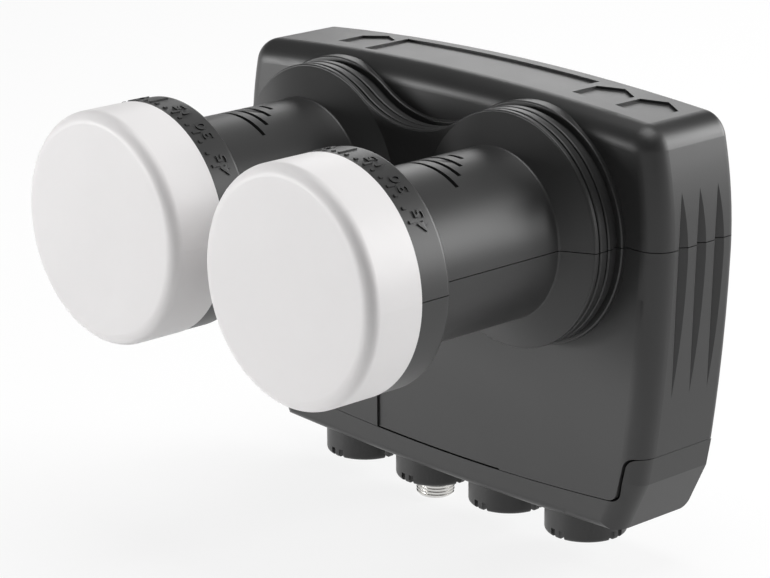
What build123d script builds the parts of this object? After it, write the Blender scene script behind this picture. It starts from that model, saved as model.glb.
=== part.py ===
import os
from math import sqrt

from build123d import *

# All sizes are in millimetres. X runs across the two feeds, Y runs back from the flange's
# front face, and Z = 0 is the plane of both feed axes, where the two covers part.

# Feeds: cap, ring, neck and flange, from the front to the back
feed_spacing = 64.0
cap_overhang = 0.1
cap_length = 14.6
cap_round = 2.8
cap_face = 1.6
ring_diameter = 54.0
ring_length = 8.5
ring_round = 1.0
neck_diameter = 40.0
neck_length = 39.8
cone_length = 3.7
cone_round = 0.6
flange_diameter = 55.0
ridge_round = 0.4
flange_wall = 2.8
saddle_height = 17.9
ridge_widths = (1.1, 1.9, 1.7, 1.2)
ridge_margins = (0.0, 0.0, 0.0, 0.8)
groove_widths = (0.6, 0.6, 1.7)
groove_depth = 0.9

# Arrow of grooves on top of each neck
neck_groove_count = 4
neck_groove_first = 16.0
neck_groove_pitch = 3.3
neck_groove_width = 1.1
neck_groove_depth = 0.9
neck_groove_angle = 6.2
neck_groove_spread = 8.7

# Body covers
body_width = 140.0
body_depth = 25.6
top_height = 30.1
shoulder_height = 27.1
side_radius = 100.0
side_turn = 4.0
side_draw = 4.4
corner_round = 6.5
front_round = 5.5
back_round = 2.0
wall = 2.0
seam_gap = 0.2

# Grip grooves on both ends of the body
grip_count = 3
grip_first = 17.0
grip_pitch = 6.0
grip_top = 12.8
grip_low = -35.5
grip_spread = 1.25

# Shallow fields on the top and the front
field_depth = 0.6
panel_width = 64.0
panel_depth = 14.5
field_setback = 4.5
arrow_width = 11.6
arrow_length = 11.5
arrow_tip = 3.2
arrow_places = (-39.0, 40.0, 53.3)
label_width = 42.4
label_top = 34.3

# Bottom cover: the seam to the lower cover, the outline below it and the port collars
side_seam = 49.4
step_margin = 4.6
step_run = 2.7
step_end = 60.6
middle_seam = 63.2
step_round = 3.0
tray_gap = 0.4
tray_inset = 0.5
tray_shoulder = 56.5
tray_shoulder_draw = 1.9
tray_floor_draw = 7.8
tray_floor_end = 68.6
tray_floor = 69.9
tray_edge_round = 2.2
port_count = 4
port_pitch = 25.6
port_y = 20.6
connector_port = 1
collar_diameter = 19.6
collar_end = 76.0
collar_wall = 2.0
collar_round = 1.0
port_depth = 6.0
seat_diameter = 15.0
seat_height = 67.0
notch_width = 1.4
notch_height = 2.2
notch_angle = 8.0

# Cast chassis with the horns, its board and its lid
fit = 0.3
waveguide_diameter = 18.0
waveguide_wall = 2.5
spigot_length = 8.0
horn_length = 10.0
horn_flare = 12.0
horn_mouth = 34.0
choke_inner = 38.0
choke_outer = 44.0
choke_depth = 8.0
seal_section = 1.8
seal_setback = 4.0
chassis_room = 4.6
chassis_top = 22.0
chassis_corner = 11.0
chassis_bottom_room = 0.6
chassis_wall = 2.5
chassis_height = 16.9
board_ledge = 1.5
board_thickness = 1.0
gasket_thickness = 0.6
lid_thickness = 2.0
cup_wall = 2.0
screw_diameter = 2.5
screw_head_diameter = 4.4
screw_head = 1.2
screw_length = 9.0
screw_fit = 0.05
boss_diameter = 6.0
screw_middle = -13.0
screw_low_place = 36.0

# Coaxial socket
thread_diameter = 9.5
thread_end = 81.0
thread_chamfer = 0.5
thread_relief = 0.5
socket_shoulder_diameter = 13.0
socket_press_diameter = 11.0
insulator_diameter = 7.0
insulator_setback = 2.0
contact_diameter = 2.0
contact_bore = 1.0
contact_bore_depth = 10.0
pin_diameter = 1.0
pin_length = 3.5

# Parts on the board: their places on it and their sizes
amplifier_reach = 14.0
amplifier_size = 1.8
amplifier_height = 0.8
mixer_place = (24.0, -26.0)
mixer_size = 5.0
switch_place = (0.0, -36.0)
switch_size = 6.0
chip_height = 0.9
crystal_place = (0.0, -24.0)
crystal_length = 5.0
crystal_width = 3.2
crystal_height = 1.0
regulator_place = (24.0, -46.0)
regulator_size = 6.5
regulator_height = 2.3
supply_choke_place = (-25.0, -46.0)
supply_choke_diameter = 5.0
supply_choke_core = 2.0
supply_choke_height = 3.5
capacitor_place = (0.0, -50.0)
capacitor_length = 3.2
capacitor_width = 1.6
capacitor_height = 1.6
capacitor_count = 5
capacitor_pitch = 4.0

# Stations and radii that follow from the sizes above
half_spacing = feed_spacing / 2
feed_places = (-half_spacing, half_spacing)
neck_radius = neck_diameter / 2
ring_radius = ring_diameter / 2
cap_radius = ring_radius + cap_overhang
flange_radius = flange_diameter / 2
neck_back = -cone_length
ring_back = neck_back - neck_length
ring_front = ring_back - ring_length
cap_front = ring_front - cap_length
ridge_fronts = [sum(ridge_widths[:n]) + sum(groove_widths[:n]) for n in range(len(ridge_widths))]
low_half = body_width / 2 - side_draw
body_front = ridge_fronts[-1] + ridge_widths[-1]
body_back = body_front + body_depth
inner_front = body_front + wall
inner_back = body_back - wall
spigot_radius = neck_radius - wall - fit
horn_radius = ring_radius - wall - fit
horn_front = ring_front - horn_length
horn_back = ring_back - wall - fit
guide_radius = waveguide_diameter / 2
cap_bore = horn_radius + fit
seal_station = ring_front - seal_setback
chassis_front = inner_front + fit
chassis_floor = chassis_front + chassis_wall
chassis_back = chassis_front + chassis_height
chassis_half = low_half - wall - chassis_room
chassis_bottom = chassis_bottom_room - step_end
board_front = port_y + pin_diameter / 2
board_back = board_front + board_thickness
lid_front = chassis_back + gasket_thickness
lid_back = lid_front + lid_thickness
boss_radius = boss_diameter / 2
screw_radius = screw_diameter / 2
collar_radius = collar_diameter / 2
port_places = [port_pitch * (n - (port_count - 1) / 2) for n in range(port_count)]
socket_x = port_places[connector_port]
socket_top = chassis_bottom + chassis_wall
shoulder_end = seal_section - seat_height
thread_top = port_depth - collar_end
thread_radius = thread_diameter / 2
insulator_radius = insulator_diameter / 2
insulator_end = -thread_end + insulator_setback
contact_radius = contact_diameter / 2
BACK = (0, 1, 0)
UP = (0, 0, 1)

os.makedirs("parts", exist_ok=True)


def finish(piece, name):
    """Name a finished piece and write it."""
    piece.part.label = name
    export_step(piece.part, f"parts/{name}.step")


def across(y):
    """Plane that faces the front at the station y, with its own x along X and y along Z."""
    return Plane(origin=(0, y, 0), x_dir=(1, 0, 0), z_dir=(0, -1, 0))


def feed_axis(x):
    """Axis of one feed."""
    return Axis((x, 0, 0), BACK)


def half_width(height):
    """Half the body's width at a height: a round side above, and below it a flatter arc that
    leaves it without a kink and ends at the low width."""
    centre = body_width / 2 - side_radius
    if height > -side_turn:
        return centre + sqrt(side_radius**2 - height**2)
    inward_z = side_turn / side_radius
    inward_x = -sqrt(1 - inward_z**2)
    turn_x = centre - side_radius * inward_x
    run_x = low_half - turn_x
    run_z = side_turn - side_seam
    radius = (run_x**2 + run_z**2) / (2 * (inward_x * run_x + inward_z * run_z))
    low_centre_x = turn_x + inward_x * radius
    low_centre_z = -side_turn + inward_z * radius
    return low_centre_x + sqrt(radius**2 - (height - low_centre_z) ** 2)


def flange_outline(y, margin):
    """Two round pads joined by hollow arcs above and below, grown by a margin."""
    pad = flange_radius + margin
    saddle = saddle_height + margin
    hollow = (half_spacing**2 + saddle**2 - pad**2) / (2 * (pad - saddle))
    share = pad / (pad + hollow)
    x = half_spacing * (1 - share)
    z = (saddle + hollow) * share
    with BuildSketch(across(y)) as outline:
        with BuildLine():
            ThreePointArc((x, -z), (half_spacing + pad, 0), (x, z))
            ThreePointArc((x, z), (0, saddle), (-x, z))
            ThreePointArc((-x, z), (-half_spacing - pad, 0), (-x, -z))
            ThreePointArc((-x, -z), (0, -saddle), (x, -z))
        make_face()
    return outline.sketch


def flange_ridge(front, width, margin):
    """One ridge of the flange with its front edge rounded."""
    with BuildPart() as ridge:
        extrude(flange_outline(front, margin), amount=width, dir=BACK)
        fillet(ridge.faces().sort_by(Axis.Y)[0].edges(), ridge_round)
    return ridge.part


def covers_outline(y, inset):
    """Body from the front: crowned top, round shoulders and sides that narrow downwards."""
    heights = (shoulder_height, 0, -side_turn, -side_seam, -collar_end)
    shoulder, seam, turn, low, end = [(half_width(height), height) for height in heights]
    with BuildSketch(across(y)) as outline:
        with BuildLine():
            ThreePointArc((-shoulder[0], shoulder_height), (0, top_height), shoulder)
            ThreePointArc(shoulder, seam, turn)
            ThreePointArc(turn, low, end)
            Line(end, (-end[0], -collar_end))
            ThreePointArc((-end[0], end[1]), (-low[0], low[1]), (-turn[0], turn[1]))
            ThreePointArc((-turn[0], turn[1]), (-seam[0], 0), (-shoulder[0], shoulder_height))
        make_face()
        if inset:
            offset(amount=-inset, kind=Kind.INTERSECTION)
        corners = outline.vertices().sort_by(Axis.Y)
        fillet(corners[:2] + corners[-2:], corner_round - inset)
    return outline.sketch


def below_seam(y, gap):
    """Everything under the lower cover's edge, which steps down between its two ends."""
    outer = low_half - step_margin + gap
    inner = outer - step_run
    side = -side_seam - gap
    end = -step_end - gap
    far = body_width
    with BuildSketch(across(y)) as outline:
        with BuildLine():
            ThreePointArc((-inner, end), (0, -middle_seam - gap), (inner, end))
            Polyline((inner, end), (outer, side), (far, side), (far, -far))
            Polyline((-inner, end), (-outer, side), (-far, side), (-far, -far))
            Line((-far, -far), (far, -far))
        make_face()
        fillet(outline.vertices().filter_by(lambda corner: abs(corner.X) < far / 2), step_round)
    return outline.sketch


def tray_block(inset, corner, floor_edge):
    """Form of the bottom cover, outside or inside: slanted ends with round front and back
    edges, cut off by the crowned floor."""
    front = body_front + tray_inset + inset
    depth = body_depth - 2 * (tray_inset + inset)
    side = low_half - tray_inset
    shoulder = low_half - tray_shoulder_draw
    floor = low_half - tray_floor_draw
    slant = (shoulder - floor) / (tray_floor_end - tray_shoulder)
    low = floor - slant * (thread_end - tray_floor_end)
    far = body_width
    far_drop = (tray_floor - tray_floor_end) * (far / floor) ** 2 - tray_floor + inset
    with BuildPart() as above_floor:
        with BuildSketch(across(front)):
            with BuildLine():
                ThreePointArc((-far, far_drop), (0, inset - tray_floor), (far, far_drop))
                Polyline((-far, far_drop), (-far, far), (far, far), (far, far_drop))
            make_face()
        extrude(amount=depth, dir=BACK)
        fillet(above_floor.edges().filter_by(GeomType.CIRCLE), floor_edge)
    with BuildPart() as block:
        with BuildSketch(across(front)):
            with BuildLine():
                for x in (1, -1):
                    Polyline(
                        (0, -thread_end),
                        (x * low, -thread_end),
                        (x * shoulder, -tray_shoulder),
                        (x * side, -side_seam),
                        (x * side, 0),
                        (0, 0),
                    )
            make_face()
            if inset:
                offset(amount=-inset, kind=Kind.INTERSECTION)
        extrude(amount=depth, dir=BACK)
        fillet(block.faces().sort_by(Axis.Y)[0].edges(), corner)
        add(above_floor.part, mode=Mode.INTERSECT)
    return block.part


def chassis_outline(y, inset):
    """Outline of the cast box: a plate with slanted lower corners."""
    half = chassis_half
    low = half - chassis_corner / 2
    with BuildSketch(across(y)) as outline:
        with BuildLine():
            Polyline(
                (-half, chassis_top),
                (half, chassis_top),
                (half, chassis_bottom + chassis_corner),
                (low, chassis_bottom),
                (-low, chassis_bottom),
                (-half, chassis_bottom + chassis_corner),
                close=True,
            )
        make_face()
        if inset:
            offset(amount=-inset, kind=Kind.INTERSECTION)
    return outline.sketch


def discs(y, places, radius):
    """Equal round faces at the given places of a front plane."""
    with BuildSketch(across(y)) as faces:
        with Locations(*places):
            Circle(radius)
    return faces.sketch


def feed_section(x, points, rounded):
    """Half section of something turned about one feed axis, with some corners rounded."""
    with BuildSketch(Plane(origin=(x, 0, 0))) as section:
        with BuildLine():
            Polyline(*points, close=True)
        make_face()
        for point, radius in rounded:
            fillet(section.vertices().sort_by_distance((point[0], point[1], 0))[0], radius)
    return section.sketch


def socket_section(points):
    """Half section of something turned about the coaxial socket's axis."""
    with BuildSketch(Plane(origin=(socket_x, port_y, 0), x_dir=(1, 0, 0), z_dir=(0, -1, 0))) as section:
        with BuildLine():
            Polyline(*points, close=True)
        make_face()
    return section.sketch


feed_centres = [(x, 0) for x in feed_places]
socket_axis = Axis((socket_x, port_y, 0), UP)
screw_places = []
for side in (-1, 1):
    screw_places.append((side * (chassis_half - boss_radius), chassis_top - boss_radius))
    screw_places.append((side * (chassis_half - boss_radius), screw_middle))
    screw_places.append((side * screw_low_place, chassis_bottom + boss_radius))

# Body block of the two covers and the hollow inside it
with BuildPart() as body_block:
    extrude(covers_outline(body_front, 0), amount=body_depth, dir=BACK)
    fillet(body_block.faces().sort_by(Axis.Y)[0].edges(), front_round)
    fillet(body_block.faces().sort_by(Axis.Y)[-1].edges(), back_round)

with BuildPart() as body_hollow:
    extrude(covers_outline(inner_front, wall), amount=inner_back - inner_front, dir=BACK)
    fillet(body_hollow.faces().sort_by(Axis.Y)[0].edges(), front_round - wall)

# Shallow fields in the crowned top: a long panel and three arrows that point back
with BuildPart() as top_fields:
    field_back = body_back - field_setback
    with BuildSketch(Plane.XY.offset(shoulder_height - wall)):
        with Locations((0, field_back)):
            Rectangle(panel_width, panel_depth, align=(Align.CENTER, Align.MAX))
        for place in arrow_places:
            with BuildLine():
                Polyline(
                    (place, field_back),
                    (place + arrow_width / 2, field_back - arrow_tip),
                    (place + arrow_width / 2, field_back - arrow_length),
                    (place - arrow_width / 2, field_back - arrow_length),
                    (place - arrow_width / 2, field_back - arrow_tip),
                    close=True,
                )
            make_face()
    extrude(amount=top_height - shoulder_height + 2 * wall)
    extrude(covers_outline(body_front, field_depth), amount=body_depth, dir=BACK, mode=Mode.SUBTRACT)

# Both covers as one shell, before it is parted: flange, body, necks, hollows and grooves
with BuildPart() as covers:
    for front, width, margin in zip(ridge_fronts, ridge_widths, ridge_margins):
        add(flange_ridge(front, width, margin))
    extrude(flange_outline(ridge_round, -groove_depth), amount=inner_front - ridge_round, dir=BACK)
    extrude(flange_outline(body_front - ridge_round, ridge_margins[-1]), amount=wall, dir=BACK)
    add(body_block.part)

    neck_points = (
        (0, ring_front),
        (ring_radius, ring_front),
        (ring_radius, ring_back),
        (neck_radius, ring_back),
        (neck_radius, neck_back),
        (flange_radius - ridge_round, 0),
        (flange_radius - ridge_round, wall / 2),
        (0, wall / 2),
    )
    neck_rounds = (((ring_radius, ring_back), ring_round), ((neck_radius, neck_back), cone_round))
    bore_points = (
        (0, ring_front),
        (ring_radius - wall, ring_front),
        (ring_radius - wall, ring_back - wall),
        (neck_radius - wall, ring_back - wall),
        (neck_radius - wall, inner_front),
        (0, inner_front),
    )
    for x in feed_places:
        revolve(feed_section(x, neck_points, neck_rounds), axis=feed_axis(x))
    extrude(flange_outline(wall, -flange_wall), amount=body_front, dir=BACK, mode=Mode.SUBTRACT)
    add(body_hollow.part, mode=Mode.SUBTRACT)
    for x in feed_places:
        revolve(feed_section(x, bore_points, ()), axis=feed_axis(x), mode=Mode.SUBTRACT)

    add(top_fields.part, mode=Mode.SUBTRACT)
    with BuildSketch(across(body_front)):
        with Locations((0, -label_top)):
            Rectangle(label_width, middle_seam - label_top, align=(Align.CENTER, Align.MAX))
    extrude(amount=field_depth, dir=BACK, mode=Mode.SUBTRACT)

    for x in feed_places:
        for n in range(neck_groove_count):
            half_angle = neck_groove_angle + n * neck_groove_spread
            start = Vector(UP).rotate(Axis.Y, -half_angle)
            with BuildSketch(Plane(origin=(x, 0, 0), x_dir=start, z_dir=start.cross(Vector(BACK)))):
                with Locations((neck_radius, -neck_groove_first - n * neck_groove_pitch)):
                    Rectangle(2 * neck_groove_depth, neck_groove_width)
            revolve(axis=feed_axis(x), revolution_arc=2 * half_angle, mode=Mode.SUBTRACT)

    flank = wall * grip_spread
    for side in (-1, 1):
        for n in range(grip_count):
            tip = Vector(side * half_width(grip_top), grip_first + n * grip_pitch, grip_top)
            run = Vector(side * (half_width(grip_low) - half_width(grip_top)), 0, grip_low - grip_top)
            with BuildSketch(Plane(origin=tip, x_dir=BACK, z_dir=run)):
                with BuildLine():
                    Polyline((0, 0), (flank, side * wall), (-flank, side * wall), close=True)
                make_face()
            extrude(amount=run.length, dir=run, mode=Mode.SUBTRACT)

# Upper cover: everything above the plane of the feed axes
with BuildPart() as upper_cover:
    add(covers.part)
    split(bisect_by=Plane.XY.offset(seam_gap / 2), keep=Keep.TOP)
finish(upper_cover, "upper_cover")

# Lower cover: from that plane down to the bottom cover's seam
with BuildPart() as lower_cover:
    add(covers.part)
    split(bisect_by=Plane.XY.offset(-seam_gap / 2), keep=Keep.BOTTOM)
    extrude(below_seam(body_front - wall, 0), amount=body_depth + 2 * wall, dir=BACK, mode=Mode.SUBTRACT)
finish(lower_cover, "lower_cover")

# Bottom cover: a tray under the seam with four collars, one of them open for the socket
with BuildPart() as bottom_cover:
    add(tray_block(0, front_round - tray_inset, tray_edge_round))
    add(tray_block(wall, front_round - tray_inset - wall, fit), mode=Mode.SUBTRACT)
    with BuildSketch(Plane.XY.offset(-collar_end)):
        with Locations(*[(x, port_y) for x in port_places]):
            Circle(collar_radius)
    extrude(amount=collar_end - tray_floor + wall / 2)
    rims = bottom_cover.faces().sort_by(Axis.Z)[:port_count].edges()
    fillet(rims, collar_round)
    with BuildSketch(Plane.XY.offset(-collar_end)):
        with Locations(*[(x, port_y) for x in port_places]):
            Circle(collar_radius - collar_wall)
    extrude(amount=port_depth, mode=Mode.SUBTRACT)
    with BuildSketch(Plane.XY.offset(-collar_end)):
        for x in port_places:
            for quarter in range(4):
                for turn in (-notch_angle, notch_angle):
                    with Locations(Location((x, port_y), quarter * 90 + turn)):
                        Rectangle(collar_radius, notch_width, align=(Align.MIN, Align.CENTER))
    extrude(amount=notch_height, mode=Mode.SUBTRACT)
    with BuildSketch(Plane.XY.offset(-seat_height)):
        with Locations((socket_x, port_y)):
            Circle(seat_diameter / 2)
    extrude(amount=seat_height - tray_floor + wall / 2)
    with BuildSketch(Plane.XY.offset(-collar_end)):
        with Locations((socket_x, port_y)):
            Circle(thread_radius + fit)
    extrude(amount=collar_end - seat_height, mode=Mode.SUBTRACT)
    extrude(below_seam(body_front, tray_gap), amount=body_depth, dir=BACK, mode=Mode.INTERSECT)
finish(bottom_cover, "bottom_cover")

# Feed caps with their seals: each cap slips over its horn and butts against the ring
cap_points = ((0, cap_front), (cap_radius, cap_front), (cap_radius, ring_front), (0, ring_front))
cap_inside = cap_front + cap_face
hollow_points = ((0, cap_inside), (cap_bore, cap_inside), (cap_bore, ring_front), (0, ring_front))
for name, x in zip(("left", "right"), feed_places):
    with BuildPart() as feed_cap:
        revolve(feed_section(x, cap_points, (((cap_radius, cap_front), cap_round),)), axis=feed_axis(x))
        revolve(feed_section(x, hollow_points, ()), axis=feed_axis(x), mode=Mode.SUBTRACT)
    finish(feed_cap, f"{name}_feed_cap")

    with BuildPart() as cap_seal:
        with BuildSketch(Plane(origin=(x, 0, 0))):
            with Locations((cap_bore - seal_section / 2, seal_station)):
                Circle(seal_section / 2)
        revolve(axis=feed_axis(x))
    finish(cap_seal, f"{name}_cap_seal")

# Chassis: both horns with their waveguides and the open box for the board, one casting
horn_points = (
    (0, horn_front),
    (horn_radius, horn_front),
    (horn_radius, horn_back),
    (guide_radius + waveguide_wall, horn_back),
    (guide_radius + waveguide_wall, chassis_front - spigot_length),
    (spigot_radius, chassis_front - spigot_length),
    (spigot_radius, chassis_floor),
    (guide_radius + cup_wall, chassis_floor),
    (guide_radius + cup_wall, board_front),
    (0, board_front),
)
guide_points = (
    (0, horn_front),
    (horn_mouth / 2, horn_front),
    (guide_radius, horn_front + horn_flare),
    (guide_radius, board_front),
    (0, board_front),
)
with BuildPart() as chassis:
    extrude(chassis_outline(chassis_front, 0), amount=chassis_height, dir=BACK)
    board_room = chassis_outline(board_front, chassis_wall)
    extrude(board_room, amount=chassis_back - board_front, dir=BACK, mode=Mode.SUBTRACT)
    front_room = chassis_outline(chassis_floor, chassis_wall + board_ledge)
    extrude(front_room, amount=board_front - chassis_floor, dir=BACK, mode=Mode.SUBTRACT)
    bosses = discs(chassis_floor, screw_places, boss_radius)
    extrude(bosses, amount=chassis_back - chassis_floor, dir=BACK)
    for x in feed_places:
        revolve(feed_section(x, horn_points, ()), axis=feed_axis(x))
    for x in feed_places:
        revolve(feed_section(x, guide_points, ()), axis=feed_axis(x), mode=Mode.SUBTRACT)
        with BuildSketch(Plane(origin=(x, 0, 0))):
            with Locations((choke_inner / 2, horn_front)):
                Rectangle((choke_outer - choke_inner) / 2, choke_depth, align=Align.MIN)
            with Locations((cap_bore - seal_section, seal_station)):
                Rectangle(seal_section, seal_section + fit, align=(Align.MIN, Align.CENTER))
        revolve(axis=feed_axis(x), mode=Mode.SUBTRACT)
    screw_holes = discs(lid_back - screw_length - fit, screw_places, screw_radius + screw_fit)
    extrude(screw_holes, amount=screw_length, dir=BACK, mode=Mode.SUBTRACT)
    with BuildSketch(Plane.XY.offset(chassis_bottom)):
        with Locations((socket_x, port_y)):
            Circle(socket_press_diameter / 2 + screw_fit)
    extrude(amount=chassis_wall + board_ledge, mode=Mode.SUBTRACT)
finish(chassis, "chassis")

# Circuit board: lies on the ledge and the waveguides' ends, with room for the screw bosses
with BuildPart() as circuit_board:
    extrude(chassis_outline(board_front, chassis_wall + fit), amount=board_thickness, dir=BACK)
    bays = discs(board_front, screw_places, boss_radius + fit)
    extrude(bays, amount=board_thickness, dir=BACK, mode=Mode.SUBTRACT)
finish(circuit_board, "circuit_board")

# Gasket: the same rim as the box's wall and bosses
with BuildPart() as lid_gasket:
    extrude(chassis_outline(chassis_back, 0), amount=gasket_thickness, dir=BACK)
    inside = chassis_outline(chassis_back, chassis_wall)
    extrude(inside, amount=gasket_thickness, dir=BACK, mode=Mode.SUBTRACT)
    extrude(discs(chassis_back, screw_places, boss_radius), amount=gasket_thickness, dir=BACK)
    holes = discs(chassis_back, screw_places, screw_radius + fit)
    extrude(holes, amount=gasket_thickness, dir=BACK, mode=Mode.SUBTRACT)
finish(lid_gasket, "lid_gasket")

# Lid: a plate with a cup behind each waveguide that holds the board down
with BuildPart() as board_lid:
    extrude(chassis_outline(lid_front, 0), amount=lid_thickness, dir=BACK)
    extrude(discs(board_back, feed_centres, guide_radius + cup_wall), amount=lid_front - board_back, dir=BACK)
    cups = discs(board_back, feed_centres, guide_radius)
    extrude(cups, amount=lid_front - board_back, dir=BACK, mode=Mode.SUBTRACT)
    holes = discs(lid_front, screw_places, screw_radius + fit)
    extrude(holes, amount=lid_thickness, dir=BACK, mode=Mode.SUBTRACT)
finish(board_lid, "board_lid")

# Lid screws: one solid each
with BuildPart() as lid_screws:
    extrude(discs(lid_back, screw_places, screw_head_diameter / 2), amount=screw_head, dir=BACK)
    extrude(discs(lid_back - screw_length, screw_places, screw_radius), amount=screw_length, dir=BACK)
finish(lid_screws, "lid_screws")

# Coaxial socket: pressed into the box's lower wall, its shoulder bears on the seal
body_points = (
    (insulator_radius, socket_top),
    (socket_press_diameter / 2, socket_top),
    (socket_press_diameter / 2, chassis_bottom),
    (socket_shoulder_diameter / 2, chassis_bottom),
    (socket_shoulder_diameter / 2, shoulder_end),
    (thread_radius - thread_relief, shoulder_end),
    (thread_radius - thread_relief, thread_top),
    (thread_radius, thread_top),
    (thread_radius, -thread_end + thread_chamfer),
    (thread_radius - thread_chamfer, -thread_end),
    (insulator_radius, -thread_end),
)
insulator_points = (
    (contact_radius, socket_top),
    (insulator_radius, socket_top),
    (insulator_radius, insulator_end),
    (contact_radius, insulator_end),
)
contact_points = (
    (0, socket_top + pin_length),
    (pin_diameter / 2, socket_top + pin_length),
    (pin_diameter / 2, socket_top),
    (contact_radius, socket_top),
    (contact_radius, insulator_end),
    (contact_bore / 2, insulator_end),
    (contact_bore / 2, insulator_end + contact_bore_depth),
    (0, insulator_end + contact_bore_depth),
)
with BuildPart() as f_connector_body:
    revolve(socket_section(body_points), axis=socket_axis)
finish(f_connector_body, "f_connector_body")

with BuildPart() as f_connector_insulator:
    revolve(socket_section(insulator_points), axis=socket_axis)
finish(f_connector_insulator, "f_connector_insulator")

with BuildPart() as f_connector_contact:
    revolve(socket_section(contact_points), axis=socket_axis)
finish(f_connector_contact, "f_connector_contact")

with BuildPart() as f_connector_seal:
    with BuildSketch(Plane(origin=(socket_x, port_y, 0), x_dir=(1, 0, 0), z_dir=(0, -1, 0))):
        with Locations((thread_radius + fit + seal_section / 2, seal_section / 2 - seat_height)):
            Circle(seal_section / 2)
    revolve(axis=socket_axis)
finish(f_connector_seal, "f_connector_seal")

# Parts soldered on the back of the board
amplifier_places = []
for side in (-1, 1):
    amplifier_places.append((side * half_spacing, -amplifier_reach))
    amplifier_places.append((side * (half_spacing - amplifier_reach), 0))
with BuildPart() as first_amplifiers:
    with BuildSketch(across(board_back)):
        with Locations(*amplifier_places):
            RectangleRounded(amplifier_size, amplifier_size, amplifier_size / 6)
    extrude(amount=amplifier_height, dir=BACK)
finish(first_amplifiers, "first_amplifiers")

with BuildPart() as mixer_chips:
    with BuildSketch(across(board_back)):
        with Locations((-mixer_place[0], mixer_place[1]), mixer_place):
            Rectangle(mixer_size, mixer_size)
    extrude(amount=chip_height, dir=BACK)
finish(mixer_chips, "mixer_chips")

with BuildPart() as switch_chip:
    with BuildSketch(across(board_back)):
        with Locations(switch_place):
            Rectangle(switch_size, switch_size)
    extrude(amount=chip_height, dir=BACK)
finish(switch_chip, "switch_chip")

with BuildPart() as reference_crystal:
    with BuildSketch(across(board_back)):
        with Locations(crystal_place):
            RectangleRounded(crystal_length, crystal_width, crystal_width / 6)
    extrude(amount=crystal_height, dir=BACK)
finish(reference_crystal, "reference_crystal")

with BuildPart() as voltage_regulator:
    with BuildSketch(across(board_back)):
        with Locations(regulator_place):
            Rectangle(regulator_size, regulator_size)
    extrude(amount=regulator_height, dir=BACK)
    chamfer(voltage_regulator.faces().sort_by(Axis.Y)[-1].edges(), fit)
finish(voltage_regulator, "voltage_regulator")

with BuildPart() as supply_choke:
    with BuildSketch(across(board_back)):
        with Locations(supply_choke_place):
            Circle(supply_choke_diameter / 2)
            Circle(supply_choke_core / 2, mode=Mode.SUBTRACT)
    extrude(amount=supply_choke_height, dir=BACK)
finish(supply_choke, "supply_choke")

with BuildPart() as filter_capacitors:
    with BuildSketch(across(board_back)):
        with Locations(capacitor_place):
            with GridLocations(capacitor_pitch, capacitor_length, capacitor_count, 1):
                Rectangle(capacitor_width, capacitor_length)
    extrude(amount=capacitor_height, dir=BACK)
finish(filter_capacitors, "filter_capacitors")
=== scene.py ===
import math

import bmesh
import bpy
from mathutils import Matrix, Vector


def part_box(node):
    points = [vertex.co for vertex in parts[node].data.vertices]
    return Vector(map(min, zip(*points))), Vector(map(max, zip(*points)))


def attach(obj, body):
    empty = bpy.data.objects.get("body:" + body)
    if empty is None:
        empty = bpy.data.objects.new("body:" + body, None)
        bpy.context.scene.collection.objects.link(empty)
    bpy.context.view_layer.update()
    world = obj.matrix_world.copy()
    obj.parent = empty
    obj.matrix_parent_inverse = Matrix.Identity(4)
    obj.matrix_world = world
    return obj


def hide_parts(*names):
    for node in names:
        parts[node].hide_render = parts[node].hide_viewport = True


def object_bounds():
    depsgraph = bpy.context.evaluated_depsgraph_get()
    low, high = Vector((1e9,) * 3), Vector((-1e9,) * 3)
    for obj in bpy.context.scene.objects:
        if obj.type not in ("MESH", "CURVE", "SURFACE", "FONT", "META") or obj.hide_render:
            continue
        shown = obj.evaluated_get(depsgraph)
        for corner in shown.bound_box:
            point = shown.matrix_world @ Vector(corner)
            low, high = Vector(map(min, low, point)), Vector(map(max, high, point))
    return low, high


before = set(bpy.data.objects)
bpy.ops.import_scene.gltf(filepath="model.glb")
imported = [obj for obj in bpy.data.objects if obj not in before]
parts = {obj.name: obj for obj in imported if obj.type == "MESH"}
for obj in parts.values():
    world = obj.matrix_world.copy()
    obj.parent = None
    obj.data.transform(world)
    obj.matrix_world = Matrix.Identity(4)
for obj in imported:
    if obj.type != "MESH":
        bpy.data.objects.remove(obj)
cad_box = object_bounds()

# Chassis and board lid: the inner box of the converter, with both feed horns and waveguides in one
# pressure die casting of aluminium. A second casting, screwed on, closes it at the back. Neither is
# painted.
MM = 0.001


def linear(code):
    """Linear colour with full alpha of an sRGB hex value."""
    shares = [int(code[n:n + 2], 16) / 255 for n in (1, 3, 5)]
    return [s / 12.92 if s <= 0.04045 else ((s + 0.055) / 1.055) ** 2.4 for s in shares] + [1.0]


def node(finish, kind, values=None, **settings):
    """Adds one node with its own settings; values go to its inputs, as numbers or as links."""
    made = finish.node_tree.nodes.new(kind)
    for name, value in settings.items():
        setattr(made, name, value)
    for name, value in (values or {}).items():
        if isinstance(value, bpy.types.NodeSocket):
            finish.node_tree.links.new(value, made.inputs[name])
        else:
            made.inputs[name].default_value = value
    return made


def new_finish(name):
    """An empty material, to which the caller adds its nodes."""
    finish = bpy.data.materials.new(name)
    finish.use_nodes = True
    finish.node_tree.nodes.clear()
    return finish


def dress(finish, *names):
    """Gives a finish to nodes of the frame."""
    for name in names:
        parts[name].data.materials.clear()
        parts[name].data.materials.append(finish)


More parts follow.
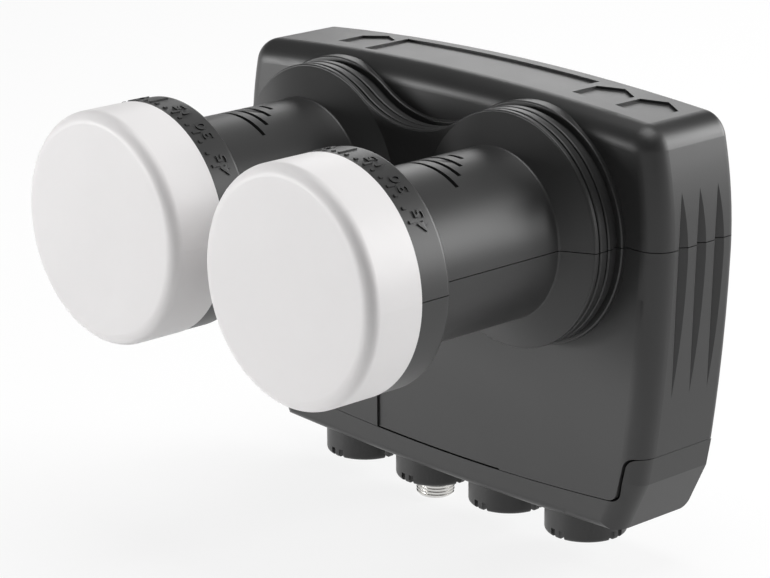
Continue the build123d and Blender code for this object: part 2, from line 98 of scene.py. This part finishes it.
# Die-cast aluminium, as it leaves the die: a dull grey metal skin with shallow flow marks
# about 6 mm wide and a fine cast grain, drawn at 0.5 mm so that it shows.
cast_aluminium = new_finish("die_cast_aluminium")
place = node(cast_aluminium, "ShaderNodeTexCoord").outputs["Object"]
flow = node(cast_aluminium, "ShaderNodeTexNoise",
            {"Vector": place, "Scale": 1 / (6 * MM), "Detail": 3})
grain = node(cast_aluminium, "ShaderNodeTexNoise",
             {"Vector": place, "Scale": 1 / (0.5 * MM), "Detail": 2})
tone = node(cast_aluminium, "ShaderNodeValToRGB", {"Fac": flow.outputs["Fac"]})
tone.color_ramp.elements[0].color = linear("#8E9092")
tone.color_ramp.elements[1].color = linear("#B4B6B8")
gloss = node(cast_aluminium, "ShaderNodeMapRange",
             {"Value": flow.outputs["Fac"], "To Min": 0.38, "To Max": 0.55})
skin = node(cast_aluminium, "ShaderNodeBump",
            {"Height": grain.outputs["Fac"], "Strength": 0.25, "Distance": 0.1 * MM})
surface = node(cast_aluminium, "ShaderNodeBsdfPrincipled",
               {"Base Color": tone.outputs["Color"], "Metallic": 1.0,
                "Roughness": gloss.outputs["Result"], "Normal": skin.outputs["Normal"]})
node(cast_aluminium, "ShaderNodeOutputMaterial", {"Surface": surface.outputs["BSDF"]})
dress(cast_aluminium, "chassis", "board_lid")

# Seals: moulded rings at both horns and at the socket, and the flat gasket under the lid.
# EPDM rubber, pressed between the pieces they keep dry.
# EPDM rubber is near black and dull, with a faint bloom in patches about 3 mm wide.
seal_rubber = new_finish("epdm_rubber")
place = node(seal_rubber, "ShaderNodeTexCoord").outputs["Object"]
bloom = node(seal_rubber, "ShaderNodeTexNoise",
             {"Vector": place, "Scale": 1 / (3 * MM), "Detail": 4})
tone = node(seal_rubber, "ShaderNodeValToRGB", {"Fac": bloom.outputs["Fac"]})
tone.color_ramp.elements[0].color = linear("#1A1A1B")
tone.color_ramp.elements[1].color = linear("#2A2A2A")
gloss = node(seal_rubber, "ShaderNodeMapRange",
             {"Value": bloom.outputs["Fac"], "To Min": 0.55, "To Max": 0.75})
surface = node(seal_rubber, "ShaderNodeBsdfPrincipled",
               {"Base Color": tone.outputs["Color"], "Roughness": gloss.outputs["Result"],
                "IOR": 1.52})
node(seal_rubber, "ShaderNodeOutputMaterial", {"Surface": surface.outputs["BSDF"]})
dress(seal_rubber, "left_cap_seal", "right_cap_seal", "lid_gasket", "f_connector_seal")

# Circuit board: copper-clad microwave laminate, etched and coated with solder mask, laid on the
# chassis' ledge and held down by the lid's cups.
# Solder mask over laminate: glossy green, darker where no copper lies under it. The tracks are
# drawn as cells about 2 mm wide.
board_laminate = new_finish("solder_masked_laminate")
place = node(board_laminate, "ShaderNodeTexCoord").outputs["Object"]
tracks = node(board_laminate, "ShaderNodeTexVoronoi", {"Vector": place, "Scale": 1 / (2 * MM)},
              distance="CHEBYCHEV", feature="F1")
tone = node(board_laminate, "ShaderNodeValToRGB", {"Fac": tracks.outputs["Distance"]})
tone.color_ramp.elements[0].color = linear("#2F6B4A")
tone.color_ramp.elements[1].color = linear("#1D4A33")
tone.color_ramp.elements[0].position = 0.35
tone.color_ramp.elements[1].position = 0.45
lift = node(board_laminate, "ShaderNodeBump",
            {"Height": tone.outputs["Color"], "Strength": 0.3, "Distance": 0.05 * MM})
surface = node(board_laminate, "ShaderNodeBsdfPrincipled",
               {"Base Color": tone.outputs["Color"], "Roughness": 0.28, "IOR": 1.55,
                "Normal": lift.outputs["Normal"]})
node(board_laminate, "ShaderNodeOutputMaterial", {"Surface": surface.outputs["BSDF"]})
dress(board_laminate, "circuit_board")

# Chips: transistors, mixers, switch and regulator, each transfer-moulded in epoxy and soldered
# to the back of the board.
# Epoxy moulding compound: charcoal, matt from the eroded mould, with a grain of filler 0.2 mm wide.
chip_epoxy = new_finish("epoxy_moulding_compound")
place = node(chip_epoxy, "ShaderNodeTexCoord").outputs["Object"]
filler = node(chip_epoxy, "ShaderNodeTexNoise",
              {"Vector": place, "Scale": 1 / (0.2 * MM), "Detail": 2})
tone = node(chip_epoxy, "ShaderNodeValToRGB", {"Fac": filler.outputs["Fac"]})
tone.color_ramp.elements[0].color = linear("#1B1B1D")
tone.color_ramp.elements[1].color = linear("#2C2C2E")
surface = node(chip_epoxy, "ShaderNodeBsdfPrincipled",
               {"Base Color": tone.outputs["Color"], "Roughness": 0.55, "IOR": 1.5})
node(chip_epoxy, "ShaderNodeOutputMaterial", {"Surface": surface.outputs["BSDF"]})
dress(chip_epoxy, "first_amplifiers", "mixer_chips", "switch_chip", "voltage_regulator")

# Crystal: the quartz plate that sets the oscillator's frequency, sealed in a drawn steel can. The
# can is nickel plated and soldered to the board.
# Nickel-plated steel: warm grey mirror, a little clouded in patches about 1 mm wide.
crystal_can = new_finish("nickel_plated_can")
place = node(crystal_can, "ShaderNodeTexCoord").outputs["Object"]
cloud = node(crystal_can, "ShaderNodeTexNoise",
             {"Vector": place, "Scale": 1 / (1 * MM), "Detail": 2})
gloss = node(crystal_can, "ShaderNodeMapRange",
             {"Value": cloud.outputs["Fac"], "To Min": 0.18, "To Max": 0.34})
surface = node(crystal_can, "ShaderNodeBsdfPrincipled",
               {"Base Color": linear("#C4C0B6"), "Metallic": 1.0,
                "Roughness": gloss.outputs["Result"]})
node(crystal_can, "ShaderNodeOutputMaterial", {"Surface": surface.outputs["BSDF"]})
dress(crystal_can, "reference_crystal")

# Choke: keeps the signal out of the supply. A wound core of sintered ferrite, dipped in lacquer and
# soldered to the board.
# Sintered ferrite: dark slate, slightly glossy under the lacquer, with pores about 0.3 mm wide.
choke_ferrite = new_finish("sintered_ferrite")
place = node(choke_ferrite, "ShaderNodeTexCoord").outputs["Object"]
pores = node(choke_ferrite, "ShaderNodeTexNoise",
             {"Vector": place, "Scale": 1 / (0.3 * MM), "Detail": 3})
tone = node(choke_ferrite, "ShaderNodeValToRGB", {"Fac": pores.outputs["Fac"]})
tone.color_ramp.elements[0].color = linear("#2A2A2C")
tone.color_ramp.elements[1].color = linear("#3C3B3D")
surface = node(choke_ferrite, "ShaderNodeBsdfPrincipled",
               {"Base Color": tone.outputs["Color"], "Roughness": 0.4, "IOR": 1.5})
node(choke_ferrite, "ShaderNodeOutputMaterial", {"Surface": surface.outputs["BSDF"]})
dress(choke_ferrite, "supply_choke")

# Capacitors: smooth the supply on the board. A row of ceramic blocks, pressed, fired and soldered
# at both ends.
# Fired titanate ceramic: tan, smooth, mottled in grains about 0.4 mm wide.
capacitor_ceramic = new_finish("fired_titanate_ceramic")
place = node(capacitor_ceramic, "ShaderNodeTexCoord").outputs["Object"]
mottle = node(capacitor_ceramic, "ShaderNodeTexNoise",
              {"Vector": place, "Scale": 1 / (0.4 * MM), "Detail": 2})
tone = node(capacitor_ceramic, "ShaderNodeValToRGB", {"Fac": mottle.outputs["Fac"]})
tone.color_ramp.elements[0].color = linear("#9C7B58")
tone.color_ramp.elements[1].color = linear("#BFA07C")
surface = node(capacitor_ceramic, "ShaderNodeBsdfPrincipled",
               {"Base Color": tone.outputs["Color"], "Roughness": 0.35, "IOR": 1.6})
node(capacitor_ceramic, "ShaderNodeOutputMaterial", {"Surface": surface.outputs["BSDF"]})
dress(capacitor_ceramic, "filter_capacitors")

# Lid screws: cold-headed steel machine screws, zinc plated, driven through the lid and gasket
# into the chassis' bosses.
# Zinc-plated steel: pale bluish metal, clouded in patches about 1.5 mm wide.
screw_steel = new_finish("zinc_plated_steel")
place = node(screw_steel, "ShaderNodeTexCoord").outputs["Object"]
cloud = node(screw_steel, "ShaderNodeTexNoise",
             {"Vector": place, "Scale": 1 / (1.5 * MM), "Detail": 2})
gloss = node(screw_steel, "ShaderNodeMapRange",
             {"Value": cloud.outputs["Fac"], "To Min": 0.25, "To Max": 0.42})
surface = node(screw_steel, "ShaderNodeBsdfPrincipled",
               {"Base Color": linear("#B9BDC2"), "Metallic": 1.0,
                "Roughness": gloss.outputs["Result"]})
node(screw_steel, "ShaderNodeOutputMaterial", {"Surface": surface.outputs["BSDF"]})
dress(screw_steel, "lid_screws")

# Coaxial socket: turned brass body pressed into the chassis, with a rolled 3/8 inch thread of
# 32 turns an inch on its outer end; nickel plated. Its thread is cut here as a true helix.
THREAD_PITCH = 25.4 / 32 * MM
THREAD_DEPTH = 0.45 * MM
THREAD_RADIUS = 4.75 * MM
THREAD_TOP = -70.0 * MM
THREAD_RELIEF = 0.5 * MM
LEAD_IN = 0.7 * MM
END_CHAMFER = 0.2 * MM
CORE_MARGIN = 0.1 * MM
BORE_RADIUS = 3.5 * MM
SHOULDER_RADIUS = 6.5 * MM
SHOULDER_LOW = -65.2 * MM
SHOULDER_TOP = -60.0 * MM
PRESSED_RADIUS = 5.5 * MM
AROUND = 64
MERGE_DISTANCE = 0.0005 * MM
SHARP_ANGLE = math.radians(25)

socket_low, socket_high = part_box("f_connector_body")
socket_x = (socket_low.x + socket_high.x) / 2
socket_y = (socket_low.y + socket_high.y) / 2
thread_end = socket_low.z + END_CHAMFER
root_radius = THREAD_RADIUS - THREAD_DEPTH
core_radius = root_radius - CORE_MARGIN
relief_radius = THREAD_RADIUS - THREAD_RELIEF

# Helix: four lines of the thread's section run down the cylinder together. A turn's last line
# joins the next turn's first, and the ends are trimmed flat, with a lead-in at the lower one.
thread = bmesh.new()
turns = math.ceil((THREAD_TOP - socket_low.z) / THREAD_PITCH) + 2
section = ((0.0, THREAD_RADIUS), (0.25, THREAD_RADIUS), (0.5, root_radius), (0.75, root_radius))
lines = []
for drop, radius in section:
    line = []
    for step in range(turns * AROUND + 1):
        angle = 2 * math.pi * step / AROUND
        z = THREAD_TOP + THREAD_PITCH * (1 - drop) - THREAD_PITCH * step / AROUND
        z = min(THREAD_TOP, max(thread_end, z))
        chamfer = max(0.0, socket_low.z + LEAD_IN - z)
        reach = min(radius, THREAD_RADIUS - chamfer)
        line.append(thread.verts.new((reach * math.cos(angle), reach * math.sin(angle), z)))
    lines.append(line)
for step in range(turns * AROUND):
    for here, there in zip(lines, lines[1:]):
        thread.faces.new((here[step], here[step + 1], there[step + 1], there[step]))
for step in range((turns - 1) * AROUND):
    here, there = lines[-1], lines[0]
    after = step + AROUND
    thread.faces.new((here[step], here[step + 1], there[after + 1], there[after]))
bmesh.ops.dissolve_degenerate(thread, dist=MERGE_DISTANCE, edges=thread.edges)

# Turned part: press fit and shoulder above, relief and core inside the thread, end face and bore
turned = ((BORE_RADIUS, socket_high.z), (PRESSED_RADIUS, socket_high.z),
          (PRESSED_RADIUS, SHOULDER_TOP), (SHOULDER_RADIUS, SHOULDER_TOP),
          (SHOULDER_RADIUS, SHOULDER_LOW), (relief_radius, SHOULDER_LOW),
          (relief_radius, THREAD_TOP), (root_radius, THREAD_TOP),
          (core_radius, THREAD_TOP - CORE_MARGIN), (core_radius, thread_end),
          (THREAD_RADIUS - LEAD_IN + END_CHAMFER, thread_end),
          (THREAD_RADIUS - LEAD_IN, socket_low.z), (BORE_RADIUS, socket_low.z))
rings = []
for radius, z in turned:
    ring = []
    for step in range(AROUND):
        angle = 2 * math.pi * step / AROUND
        ring.append(thread.verts.new((radius * math.cos(angle), radius * math.sin(angle), z)))
    rings.append(ring)
for here, there in zip(rings, rings[1:] + rings[:1]):
    for step in range(AROUND):
        after = (step + 1) % AROUND
        thread.faces.new((here[step], here[after], there[after], there[step]))
bmesh.ops.recalc_face_normals(thread, faces=thread.faces)
socket_mesh = bpy.data.meshes.new("coaxial_socket")
thread.to_mesh(socket_mesh)
thread.free()
socket_mesh.transform(Matrix.Translation((socket_x, socket_y, 0)))
socket_mesh.shade_smooth()
socket_mesh.set_sharp_from_angle(angle=SHARP_ANGLE)
coaxial_socket = bpy.data.objects.new("coaxial_socket", socket_mesh)
bpy.context.scene.collection.objects.link(coaxial_socket)

# Nickel-plated brass: a bright, faintly warm metal; the plating is clouded a little in patches
# about 0.8 mm wide.
nickel_plating = new_finish("nickel_plated_brass")
place = node(nickel_plating, "ShaderNodeTexCoord").outputs["Object"]
cloud = node(nickel_plating, "ShaderNodeTexNoise",
             {"Vector": place, "Scale": 1 / (0.8 * MM), "Detail": 3})
gloss = node(nickel_plating, "ShaderNodeMapRange",
             {"Value": cloud.outputs["Fac"], "To Min": 0.14, "To Max": 0.3})
tone = node(nickel_plating, "ShaderNodeValToRGB", {"Fac": cloud.outputs["Fac"]})
tone.color_ramp.elements[0].color = linear("#CDCCC9")
tone.color_ramp.elements[1].color = linear("#E1E0DE")
surface = node(nickel_plating, "ShaderNodeBsdfPrincipled",
               {"Base Color": tone.outputs["Color"], "Metallic": 1.0,
                "Roughness": gloss.outputs["Result"]})
node(nickel_plating, "ShaderNodeOutputMaterial", {"Surface": surface.outputs["BSDF"]})
socket_mesh.materials.append(nickel_plating)
dress(nickel_plating, "f_connector_body")

# Nickel with painted shade: the same plating, made duller and painted darker on the end inside the
# housing, as painted shade, so that no glint shows through the seam.
shade_painted_nickel = new_finish("nickel_with_painted_shade")
place = node(shade_painted_nickel, "ShaderNodeTexCoord").outputs["Object"]
cloud = node(shade_painted_nickel, "ShaderNodeTexNoise",
             {"Vector": place, "Scale": 1 / (0.8 * MM), "Detail": 3})
gloss = node(shade_painted_nickel, "ShaderNodeMapRange",
             {"Value": cloud.outputs["Fac"], "To Min": 0.6, "To Max": 0.75})
surface = node(shade_painted_nickel, "ShaderNodeBsdfPrincipled",
               {"Base Color": linear("#8C8B88"), "Metallic": 1.0,
                "Roughness": gloss.outputs["Result"]})
node(shade_painted_nickel, "ShaderNodeOutputMaterial", {"Surface": surface.outputs["BSDF"]})
socket_mesh.materials.append(shade_painted_nickel)
# Painted shade: the faces above the shoulder, inside the housing, take the darker nickel.
for face in socket_mesh.polygons:
    if face.center.z > SHOULDER_LOW:
        face.material_index = 1
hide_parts("f_connector_body")
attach(coaxial_socket, "root")

# Socket insulator: carries the contact in the middle of the socket. A sleeve moulded of natural
# polypropylene, pushed into the bore.
# Natural polypropylene: milky white and waxy, cloudy in patches about 2 mm wide.
insulator_plastic = new_finish("natural_polypropylene")
place = node(insulator_plastic, "ShaderNodeTexCoord").outputs["Object"]
cloud = node(insulator_plastic, "ShaderNodeTexNoise",
             {"Vector": place, "Scale": 1 / (2 * MM), "Detail": 2})
tone = node(insulator_plastic, "ShaderNodeValToRGB", {"Fac": cloud.outputs["Fac"]})
tone.color_ramp.elements[0].color = linear("#DAD9D2")
tone.color_ramp.elements[1].color = linear("#ECEBE6")
surface = node(insulator_plastic, "ShaderNodeBsdfPrincipled",
               {"Base Color": tone.outputs["Color"], "Roughness": 0.4, "IOR": 1.49})
node(insulator_plastic, "ShaderNodeOutputMaterial", {"Surface": surface.outputs["BSDF"]})
dress(insulator_plastic, "f_connector_insulator")

# Socket contact: grips the wire of the cable. A spring sleeve with a solder pin, rolled from bronze
# strip, tinned and held in the insulator.
# Tinned phosphor bronze: soft yellow metal, duller in patches about 0.6 mm wide.
contact_bronze = new_finish("tinned_phosphor_bronze")
place = node(contact_bronze, "ShaderNodeTexCoord").outputs["Object"]
cloud = node(contact_bronze, "ShaderNodeTexNoise",
             {"Vector": place, "Scale": 1 / (0.6 * MM), "Detail": 2})
gloss = node(contact_bronze, "ShaderNodeMapRange",
             {"Value": cloud.outputs["Fac"], "To Min": 0.22, "To Max": 0.4})
surface = node(contact_bronze, "ShaderNodeBsdfPrincipled",
               {"Base Color": linear("#C8B07A"), "Metallic": 1.0,
                "Roughness": gloss.outputs["Result"]})
node(contact_bronze, "ShaderNodeOutputMaterial", {"Surface": surface.outputs["BSDF"]})
dress(contact_bronze, "f_connector_contact")

# Covers: upper, lower and bottom shell of the housing, injection moulded of weatherproof plastic
# and snapped together around the chassis. All three moulds have the same eroded texture.
# Dark grey ASA: satin all over, with soft broad highlights. The eroded mould leaves a grain of
# about 0.15 mm, drawn at 0.4 mm so that it shows; the melt leaves faint clouds about 15 mm wide.
cover_asa = new_finish("moulded_asa_dark_grey")
place = node(cover_asa, "ShaderNodeTexCoord").outputs["Object"]
clouds = node(cover_asa, "ShaderNodeTexNoise",
              {"Vector": place, "Scale": 1 / (15 * MM), "Detail": 3})
grain = node(cover_asa, "ShaderNodeTexNoise",
             {"Vector": place, "Scale": 1 / (0.4 * MM), "Detail": 1})
tone = node(cover_asa, "ShaderNodeValToRGB", {"Fac": clouds.outputs["Fac"]})
tone.color_ramp.elements[0].color = linear("#2E2E2E")
tone.color_ramp.elements[1].color = linear("#313131")
gloss = node(cover_asa, "ShaderNodeMapRange",
             {"Value": clouds.outputs["Fac"], "To Min": 0.38, "To Max": 0.44})
skin = node(cover_asa, "ShaderNodeBump",
            {"Height": grain.outputs["Fac"], "Strength": 0.12, "Distance": 0.05 * MM})
surface = node(cover_asa, "ShaderNodeBsdfPrincipled",
               {"Base Color": tone.outputs["Color"], "Roughness": gloss.outputs["Result"],
                "IOR": 1.5, "Specular IOR Level": 0.48, "Normal": skin.outputs["Normal"]})
node(cover_asa, "ShaderNodeOutputMaterial", {"Surface": surface.outputs["BSDF"]})
dress(cover_asa, "upper_cover", "lower_cover", "bottom_cover")

# Tilt scale: numbers and strokes raised on top of both rings, moulded with the upper cover.
# They read from behind the feeds, the same to both sides of the long stroke in the middle; a
# stroke stands before each number.
SCALE_RISE = 0.3 * MM
SCALE_SINK = 0.15 * MM
NUMBER_HEIGHT = 2.6 * MM
NUMBER_STRETCH = 1.35
NUMBER_Y = -47.1 * MM
STROKE_WIDTH = 0.8 * MM
STROKE_FRONT = -50.7 * MM
SHORT_STROKE = 1.0 * MM
NUMBER_STROKE = 2.3 * MM
LONG_STROKE = 5.2 * MM
STROKE_BEVEL = 0.1 * MM
FIGURE_SHARE = 0.69
FIGURE_SWELL = 0.05 * MM
FIGURE_SPACING = 1.15
RING_RADIUS = 27.0 * MM
FEED_X = 32.0 * MM

# Each number with its angle from the ring's top, and the angles of the short strokes, in degrees
number_places = ((15, 16.8), (30, 33.7), (45, 53.6))
stroke_places = (4.4, 10.6, 22.0, 27.8, 39.5, 46.5)
scale_height = SCALE_RISE + SCALE_SINK
scale_middle = RING_RADIUS + (SCALE_RISE - SCALE_SINK) / 2
for side, feed_x in (("left", -FEED_X), ("right", FEED_X)):
    scale = bmesh.new()
    for turn in (-1, 1):
        for value, angle in number_places:
            letters = bpy.data.curves.new("number", "FONT")
            letters.body = str(value)
            letters.align_x = "CENTER"
            letters.align_y = "CENTER"
            letters.size = NUMBER_HEIGHT / FIGURE_SHARE
            letters.space_character = FIGURE_SPACING
            letters.offset = FIGURE_SWELL
            letters.extrude = scale_height / 2
            letters.resolution_u = 3
            carrier = bpy.data.objects.new("number", letters)
            bpy.context.scene.collection.objects.link(carrier)
            flat = bpy.data.meshes.new_from_object(
                carrier.evaluated_get(bpy.context.evaluated_depsgraph_get()))
            for corner in flat.vertices:
                around = math.radians(turn * angle) - NUMBER_STRETCH * corner.co.x / RING_RADIUS
                reach = scale_middle + corner.co.z
                corner.co = (feed_x + reach * math.sin(around), NUMBER_Y - corner.co.y,
                             reach * math.cos(around))
            scale.from_mesh(flat)
            bpy.data.objects.remove(carrier)
            bpy.data.curves.remove(letters)
            bpy.data.meshes.remove(flat)
    strokes = [(0.0, LONG_STROKE)]
    for turn in (-1, 1):
        strokes += [(turn * angle, SHORT_STROKE) for angle in stroke_places]
        strokes += [(turn * angle, NUMBER_STROKE) for _, angle in number_places]
    for angle, length in strokes:
        size = Matrix.Diagonal((STROKE_WIDTH, length, scale_height, 1))
        lift = Matrix.Translation((0, STROKE_FRONT + length / 2, scale_middle))
        swing = Matrix.Rotation(math.radians(angle), 4, "Y")
        place_on = Matrix.Translation((feed_x, 0, 0)) @ swing @ lift @ size
        bar = bmesh.ops.create_cube(scale, size=1, matrix=place_on)
        edges = list({edge for vert in bar["verts"] for edge in vert.link_edges})
        bmesh.ops.bevel(scale, geom=edges, offset=STROKE_BEVEL, segments=2, affect="EDGES")
    bmesh.ops.recalc_face_normals(scale, faces=scale.faces)
    scale_mesh = bpy.data.meshes.new(side + "_tilt_scale")
    scale.to_mesh(scale_mesh)
    scale.free()
    scale_mesh.materials.append(cover_asa)
    tilt_scale = bpy.data.objects.new(side + "_tilt_scale", scale_mesh)
    bpy.context.scene.collection.objects.link(tilt_scale)
    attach(tilt_scale, "root")

# Feed caps: keep the weather out of both horns and let the microwaves in. Thin lids, injection
# moulded of polypropylene and pushed on over their seals.
# White polypropylene: smooth and slightly waxy, with a soft gloss; clouds about 20 mm wide and a
# faint orange peel about 1.2 mm wide come from the mould.
cap_polypropylene = new_finish("white_polypropylene")
place = node(cap_polypropylene, "ShaderNodeTexCoord").outputs["Object"]
clouds = node(cap_polypropylene, "ShaderNodeTexNoise",
              {"Vector": place, "Scale": 1 / (20 * MM), "Detail": 2})
peel = node(cap_polypropylene, "ShaderNodeTexNoise",
            {"Vector": place, "Scale": 1 / (1.2 * MM), "Detail": 1})
tone = node(cap_polypropylene, "ShaderNodeValToRGB", {"Fac": clouds.outputs["Fac"]})
tone.color_ramp.elements[0].color = linear("#DFDDDD")
tone.color_ramp.elements[1].color = linear("#E4E2E2")
gloss = node(cap_polypropylene, "ShaderNodeMapRange",
             {"Value": clouds.outputs["Fac"], "To Min": 0.42, "To Max": 0.48})
skin = node(cap_polypropylene, "ShaderNodeBump",
            {"Height": peel.outputs["Fac"], "Strength": 0.05, "Distance": 0.05 * MM})
surface = node(cap_polypropylene, "ShaderNodeBsdfPrincipled",
               {"Base Color": tone.outputs["Color"], "Roughness": gloss.outputs["Result"],
                "IOR": 1.49, "Normal": skin.outputs["Normal"]})
node(cap_polypropylene, "ShaderNodeOutputMaterial", {"Surface": surface.outputs["BSDF"]})
dress(cap_polypropylene, "left_feed_cap", "right_feed_cap")

# Studio floor: a wide round board just under the socket's end, whose rim is bent up all around, so
# that no horizon shows. It is painted white.
SWEEP_PROFILE = ((0.3, 0.0), (5.0, 0.0), (5.5, 0.1), (5.9, 0.4), (6.0, 1.0))
SWEEP_STEPS = 48
SWEEP_GAP = 0.2 * MM
WHITE_SHARE = 0.85

sweep = bmesh.new()
loops = []
for radius, rise in SWEEP_PROFILE:
    loop = []
    for step in range(SWEEP_STEPS):
        angle = 2 * math.pi * step / SWEEP_STEPS
        loop.append(sweep.verts.new((radius * math.cos(angle), radius * math.sin(angle), rise)))
    loops.append(loop)
sweep.faces.new(loops[0])
for inner, outer in zip(loops, loops[1:]):
    for step in range(SWEEP_STEPS):
        after = (step + 1) % SWEEP_STEPS
        sweep.faces.new((inner[step], outer[step], outer[after], inner[after]))
sweep_mesh = bpy.data.meshes.new("sweep")
sweep.to_mesh(sweep_mesh)
sweep.free()
studio_sweep = bpy.data.objects.new("sweep", sweep_mesh)
studio_sweep.location = (0, 0, cad_box[0].z - SWEEP_GAP)
bpy.context.scene.collection.objects.link(studio_sweep)

# White painted board: matt, shown nearly white to the camera and to reflections, and still shaded
# by the part.
white_board = new_finish("white_painted_board")
seen = node(white_board, "ShaderNodeLightPath")
direct = node(white_board, "ShaderNodeMath",
              {0: seen.outputs["Is Camera Ray"], 1: seen.outputs["Is Glossy Ray"]},
              operation="MAXIMUM")
through = node(white_board, "ShaderNodeMath",
               {0: direct.outputs[0], 1: seen.outputs["Is Transmission Ray"]},
               operation="MAXIMUM")
share = node(white_board, "ShaderNodeMath", {0: through.outputs[0], 1: WHITE_SHARE},
             operation="MULTIPLY")
matt = node(white_board, "ShaderNodeBsdfDiffuse", {"Color": linear("#F4F4F4")})
bright = node(white_board, "ShaderNodeEmission", {"Color": linear("#FFFFFF"), "Strength": 1.0})
both = node(white_board, "ShaderNodeMixShader",
            {"Fac": share.outputs[0], 1: matt.outputs["BSDF"], 2: bright.outputs["Emission"]})
node(white_board, "ShaderNodeOutputMaterial", {"Surface": both.outputs["Shader"]})
sweep_mesh.materials.append(white_board)

# Studio light: soft boxes overhead, low at the front left, and behind to both sides, in a dim room.
# Each has its place, width and height in metres and its power in watts, and points at the origin.
lamps = (
    ("overhead", (0.00, 0.02, 1.00), 0.75, 0.75, 8.0),
    ("front_left", (-0.60, -0.80, 0.02), 0.70, 0.20, 6.4),
    ("back", (0.45, 0.90, 0.35), 0.50, 0.50, 9.4),
    ("back_right", (0.73, 0.73, 0.25), 0.40, 0.40, 2.6),
    ("back_left", (-0.70, 0.80, 0.40), 0.40, 0.40, 1.6),
)
for name, spot, width, height, power in lamps:
    softbox = bpy.data.lights.new(name, "AREA")
    softbox.shape = "RECTANGLE"
    softbox.size = width
    softbox.size_y = height
    softbox.energy = power
    lamp = bpy.data.objects.new(name, softbox)
    lamp.location = spot
    lamp.rotation_mode = "QUATERNION"
    lamp.rotation_quaternion = (-lamp.location).to_track_quat("-Z", "Y")
    bpy.context.scene.collection.objects.link(lamp)
room = bpy.data.worlds.new("room")
room.use_nodes = True
room.node_tree.nodes.clear()
dim = node(room, "ShaderNodeBackground", {"Color": linear("#FFFFFF"), "Strength": 0.03})
node(room, "ShaderNodeOutputWorld", {"Surface": dim.outputs["Background"]})
bpy.context.scene.world = room
bpy.context.scene.view_settings.view_transform = "Standard"

# Camera: a long lens from the front right and a little above, as the photograph was taken. Its
# place and sight line were fitted to both caps.
camera = bpy.data.objects.new("camera", bpy.data.cameras.new("camera"))
camera.data.lens = 140.72
camera.data.sensor_width = 36.0
camera.location = (0.49289, -0.46322, 0.18663)
sight = Vector((-0.70221, 0.64868, -0.29345))
across = Vector((0.67991, 0.73327, -0.00606))
up = across.cross(sight)
camera.rotation_mode = "QUATERNION"
camera.rotation_quaternion = Matrix((across, up, -sight)).transposed().to_quaternion()
camera.data.clip_start = 0.05
camera.data.clip_end = 50
bpy.context.scene.collection.objects.link(camera)
bpy.context.scene.camera = camera
